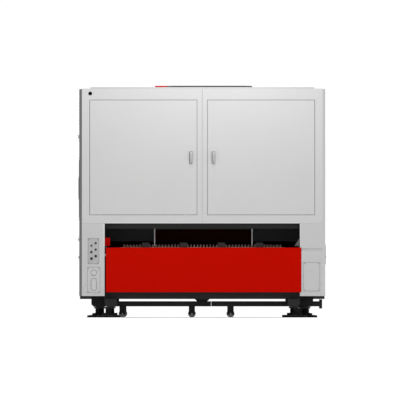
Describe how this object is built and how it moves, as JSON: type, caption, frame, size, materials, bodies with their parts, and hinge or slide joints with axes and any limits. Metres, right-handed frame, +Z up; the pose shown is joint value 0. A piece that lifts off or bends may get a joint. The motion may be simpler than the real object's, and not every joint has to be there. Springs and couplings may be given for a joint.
{
  "type": "fiber laser cutting machine",
  "caption": "Enclosed fiber laser cutting machine with rear cabinet doors, red apron, slatted pallet table, gantry head and scrap carts on casters.",
  "frame": {"origin": "on the floor under the middle of the machine", "axes": "+Z up, +Y along the bed towards the loading end, +X to the right seen from the cabinet end"},
  "size_m": [2.424, 4.4463, 2.262],
  "materials": {
    "panel_paint": "fine textured light grey powder coat",
    "trim_paint": "satin dark grey powder coat",
    "frame_paint": "satin black paint",
    "red_paint": "satin red powder coat",
    "bright_steel": "ground bearing steel",
    "zinc_plate": "light grey coated sheet",
    "slat_steel": "scorched mild steel",
    "black_plastic": "moulded black plastic",
    "rubber": "black rubber",
    "wheel_nylon": "moulded nylon",
    "laser_glass": "laser-safe amber sheet",
    "screen_glass": "glossy dark screen",
    "red_button": "gloss red plastic",
    "green_button": "gloss green plastic",
    "aluminium": "anodised aluminium",
    "handle_grey": "grey die cast zinc"
  },
  "bodies": {
    "machine": {"bed_frame": "frame_paint", "bulkhead_trims": "zinc_plate", "cabinet_walls": "zinc_plate", "cable_grommet": "rubber", "connector_plate": "panel_paint", "console_recess": "black_plastic", "console_screen": "screen_glass", "corner_trims": "trim_paint", "cover_screws": "bright_steel", "exhaust_duct": "frame_paint", "foot_plates": "frame_paint", "foot_screws": "frame_paint", "guide_rails": "bright_steel", "inner_bulkhead": "frame_paint", "laser_source": "zinc_plate", "left_wall": "panel_paint", "leg_blocks": "frame_paint", "limit_block": "red_paint", "loading_apron": "red_paint", "loading_end_panels": "panel_paint", "opening_header": "frame_paint", "pallet_tracks": "bright_steel", "rear_apron": "red_paint", "rear_door_pins": "bright_steel", "rear_panel_left": "panel_paint", "rear_panel_right": "panel_paint", "rear_post_left": "panel_paint", "rear_post_right": "panel_paint", "right_service_cover": "panel_paint", "right_wall": "panel_paint", "roof_panels": "panel_paint", "roof_vent_cover": "frame_paint", "roof_vent_end": "red_paint", "service_cover": "panel_paint", "service_ports": "black_plastic", "servo_drives": "black_plastic", "side_door_rails": "aluminium", "window_frame": "trim_paint", "window_pane": "laser_glass"},
    "rear_door_left": {"rear_door_left": "panel_paint"},
    "rear_door_right": {"rear_door_right": "panel_paint"},
    "handle_lever_left": {"handle_lever_left": "handle_grey"},
    "handle_lever_right": {"handle_lever_right": "handle_grey"},
    "side_door": {"side_door": "trim_paint", "side_door_window": "laser_glass"},
    "service_door": {"service_door": "panel_paint"},
    "loading_guard": {"loading_guard": "red_paint"},
    "gantry": {"gantry_beam": "aluminium"},
    "carriage": {"carriage": "frame_paint"},
    "cutting_head": {"cutting_head": "aluminium"},
    "pallet": {"pallet_frame": "frame_paint", "pallet_slats": "slat_steel"},
    "left_cart": {"left_cart": "frame_paint"},
    "right_cart": {"right_cart": "frame_paint"},
    "left_wheels_near": {"left_cart_wheels_near": "wheel_nylon"},
    "left_wheels_far": {"left_cart_wheels_far": "wheel_nylon"},
    "right_wheels_near": {"right_cart_wheels_near": "wheel_nylon"},
    "right_wheels_far": {"right_cart_wheels_far": "wheel_nylon"},
    "emergency_stop": {"emergency_stop": "red_button"},
    "start_button": {"start_button": "green_button"}
  },
  "joints": [
    {"name": "rear_door_left_hinge", "type": "hinge", "parent": "machine", "child": "rear_door_left", "pos_m": [-1.089, -2.192, 1.56], "axis": [0, 0, -1], "range_deg": [0, 100]},
    {"name": "rear_door_right_hinge", "type": "hinge", "parent": "machine", "child": "rear_door_right", "pos_m": [1.089, -2.192, 1.56], "axis": [0, 0, 1], "range_deg": [0, 100]},
    {"name": "handle_left_turn", "type": "hinge", "parent": "rear_door_left", "child": "handle_lever_left", "pos_m": [-0.1095, -2.21, 1.603], "axis": [0, 1, 0], "range_deg": [0, 90]},
    {"name": "handle_right_turn", "type": "hinge", "parent": "rear_door_right", "child": "handle_lever_right", "pos_m": [0.1095, -2.21, 1.603], "axis": [0, -1, 0], "range_deg": [0, 90]},
    {"name": "side_door_slide", "type": "slide", "parent": "machine", "child": "side_door", "axis": [0, -1, 0], "range_m": [0, 1.1]},
    {"name": "service_door_hinge", "type": "hinge", "parent": "machine", "child": "service_door", "pos_m": [1.206, -0.62, 1.5], "axis": [0, 0, -1], "range_deg": [0, 110]},
    {"name": "loading_guard_lift", "type": "slide", "parent": "machine", "child": "loading_guard", "axis": [0, 0, 1], "range_m": [0, 0.24]},
    {"name": "gantry_travel", "type": "slide", "parent": "machine", "child": "gantry", "axis": [0, 1, 0], "range_m": [0, 3]},
    {"name": "carriage_travel", "type": "slide", "parent": "gantry", "child": "carriage", "axis": [1, 0, 0], "range_m": [0, 1.4]},
    {"name": "head_travel", "type": "slide", "parent": "carriage", "child": "cutting_head", "axis": [0, 0, -1], "range_m": [0, 0.07]},
    {"name": "pallet_travel", "type": "slide", "parent": "machine", "child": "pallet", "axis": [0, 1, 0], "range_m": [0, 1.3]},
    {"name": "left_cart_roll", "type": "slide", "parent": "machine", "child": "left_cart", "axis": [-1, 0, 0], "range_m": [0, 1.1]},
    {"name": "right_cart_roll", "type": "slide", "parent": "machine", "child": "right_cart", "axis": [1, 0, 0], "range_m": [0, 1.1]},
    {"name": "emergency_stop_push", "type": "slide", "parent": "machine", "child": "emergency_stop", "axis": [1, 0, 0], "range_m": [0, 0.004], "stiffness_N_per_m": 800},
    {"name": "start_button_push", "type": "slide", "parent": "machine", "child": "start_button", "axis": [1, 0, 0], "range_m": [0, 0.003], "stiffness_N_per_m": 500},
    {"name": "left_near_wheels_spin", "type": "hinge", "parent": "left_cart", "child": "left_wheels_near", "pos_m": [-0.781, -0.75, 0.0375], "axis": [0, -1, 0], "range_deg": [0, 1690]},
    {"name": "left_far_wheels_spin", "type": "hinge", "parent": "left_cart", "child": "left_wheels_far", "pos_m": [-0.102, -0.75, 0.0375], "axis": [0, -1, 0], "range_deg": [0, 1690]},
    {"name": "right_near_wheels_spin", "type": "hinge", "parent": "right_cart", "child": "right_wheels_near", "pos_m": [0.278, -0.75, 0.0375], "axis": [0, 1, 0], "range_deg": [0, 1690]},
    {"name": "right_far_wheels_spin", "type": "hinge", "parent": "right_cart", "child": "right_wheels_far", "pos_m": [0.957, -0.75, 0.0375], "axis": [0, 1, 0], "range_deg": [0, 1690]}
  ],
  "couplings": [
    {"joint": "left_near_wheels_spin", "follows": "left_cart_roll", "rad_per_m": 26.667},
    {"joint": "left_far_wheels_spin", "follows": "left_cart_roll", "rad_per_m": 26.667},
    {"joint": "right_near_wheels_spin", "follows": "right_cart_roll", "rad_per_m": 26.667},
    {"joint": "right_far_wheels_spin", "follows": "right_cart_roll", "rad_per_m": 26.667}
  ]
}
